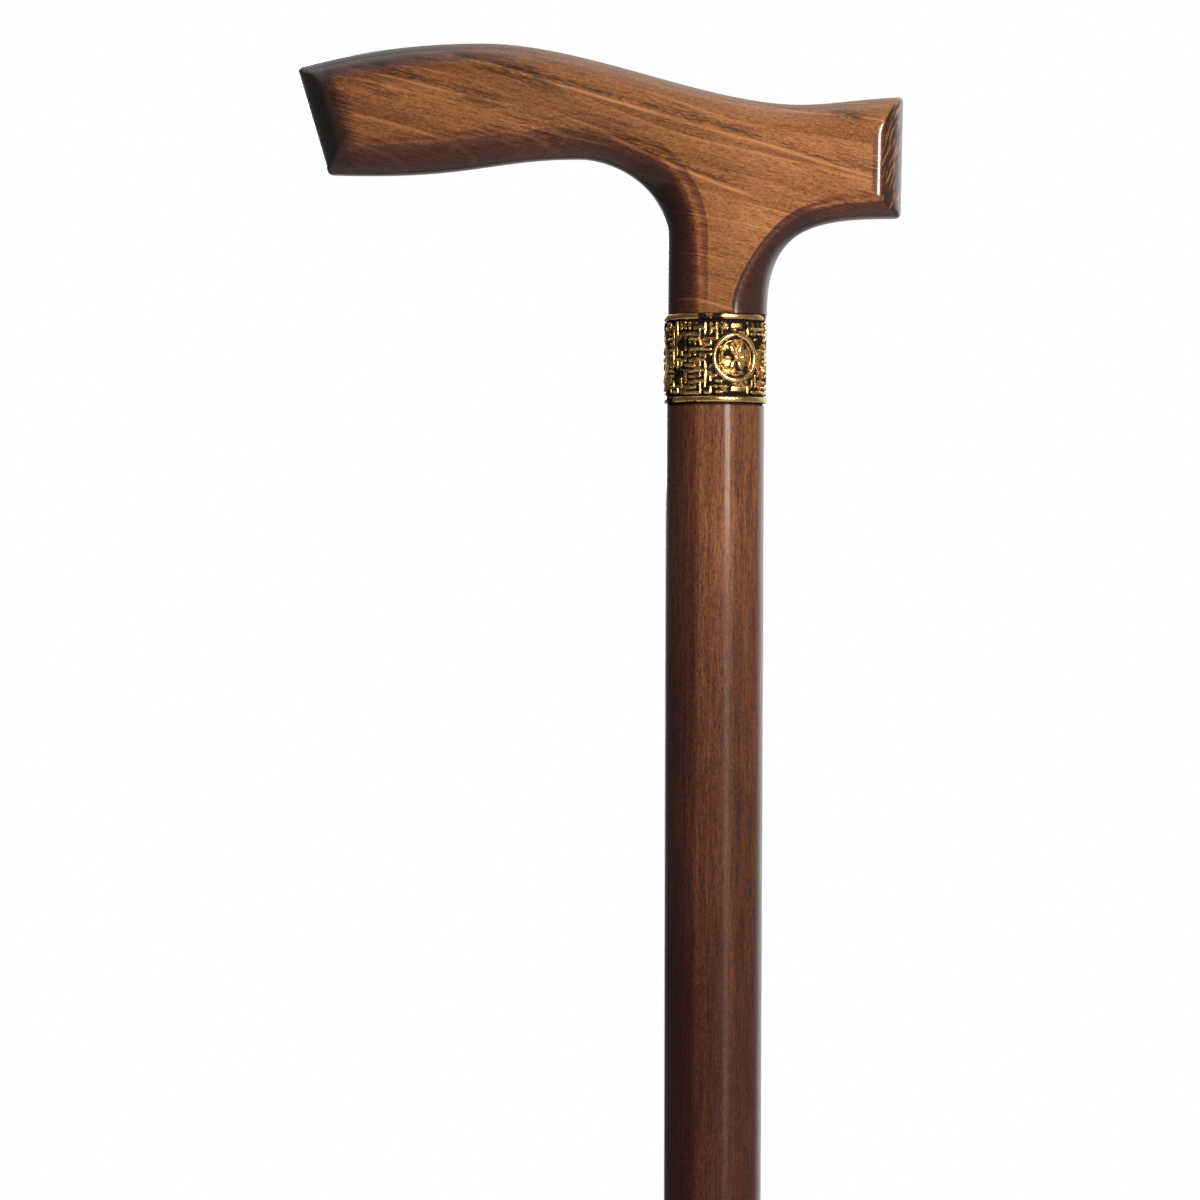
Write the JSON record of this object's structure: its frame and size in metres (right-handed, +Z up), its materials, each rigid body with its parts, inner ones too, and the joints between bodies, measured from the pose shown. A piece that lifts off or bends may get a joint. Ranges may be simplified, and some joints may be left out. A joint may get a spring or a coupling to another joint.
{
  "type": "walking cane",
  "caption": "Walking cane with a T-shaped wooden palm handle, a tapered wooden shaft, an embossed brass collar between them and a pull-off rubber tip.",
  "frame": {"origin": "middle of the rubber tip's sole, on the floor that the tip is set down on, on the shaft's axis", "axes": "+Z up the shaft, +X towards the handle's short heel, -X along the long arm that the palm rests on, +Y across the handle"},
  "size_m": [0.1368, 0.038, 0.92],
  "materials": {
    "handle_wood": "beech stained mid brown, under gloss varnish",
    "shaft_wood": "beech stained darker, redder brown, under gloss varnish",
    "collar_brass": "antique brass, bright on the relief and blackened in the recesses",
    "steel": "zinc plated",
    "rubber": "matte black moulded rubber"
  },
  "bodies": {
    "cane": {"handle": "handle_wood", "shaft": "shaft_wood", "collar": "collar_brass", "joint_stud": "steel"},
    "tip": {"rubber_tip": "rubber", "steel_disc": "steel"}
  },
  "joints": [
    {"name": "tip_pull", "type": "slide", "parent": "cane", "child": "tip", "axis": [0, 0, 1], "range_m": [-0.04, 0]}
  ]
}
